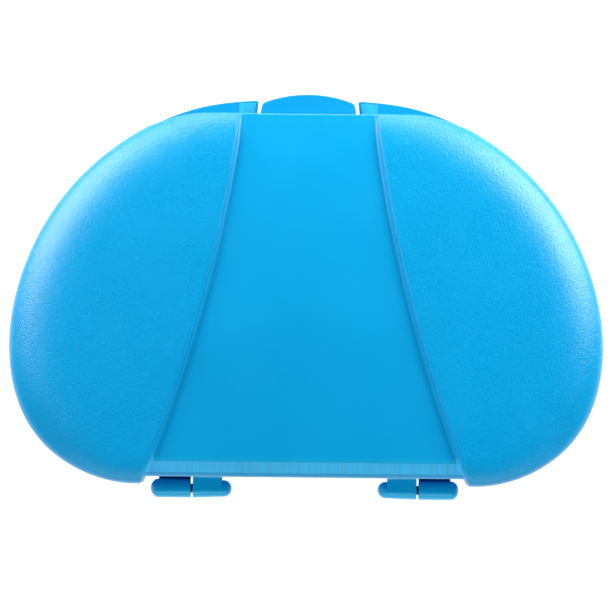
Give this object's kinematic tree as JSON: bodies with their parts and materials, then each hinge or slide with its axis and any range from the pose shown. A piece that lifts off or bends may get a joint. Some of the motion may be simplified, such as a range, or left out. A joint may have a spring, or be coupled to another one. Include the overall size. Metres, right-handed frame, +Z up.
{
  "type": "folding tabletop sandbox with cover",
  "caption": "Folding tabletop sandbox, closed: two hinged bean-shaped plastic trays, the upper one the cover, with raised side lobes, barrel hinges and an edge clip.",
  "frame": {"origin": "centre of the footprint on the resting plane, under the middle of the closed case", "axes": "+X along the hinge edge, +Y from the hinge edge to the latch edge, +Z up from tray to cover"},
  "size_m": [0.3804, 0.2609, 0.076],
  "materials": {
    "tray_plastic": "moulded polypropylene, fine spark texture on the lobes",
    "cover_plastic": "moulded polypropylene, fine spark texture on the lobes, smooth centre panel",
    "latch_plastic": "moulded polypropylene, satin",
    "pin_plastic": "moulded plastic rod, satin"
  },
  "bodies": {
    "tray": {"tray_shell": "tray_plastic", "hinge_pin_left": "pin_plastic", "hinge_pin_right": "pin_plastic", "latch_pin": "pin_plastic"},
    "cover": {"cover_shell": "cover_plastic"},
    "latch": {"latch": "latch_plastic"}
  },
  "joints": [
    {"name": "cover_hinge", "type": "hinge", "parent": "tray", "child": "cover", "pos_m": [0, -0.1244, 0.038], "axis": [1, 0, 0], "range_deg": [0, 180]},
    {"name": "latch_pivot", "type": "hinge", "parent": "tray", "child": "latch", "pos_m": [0, 0.121, 0.024], "axis": [-1, 0, 0], "range_deg": [0, 90]}
  ]
}
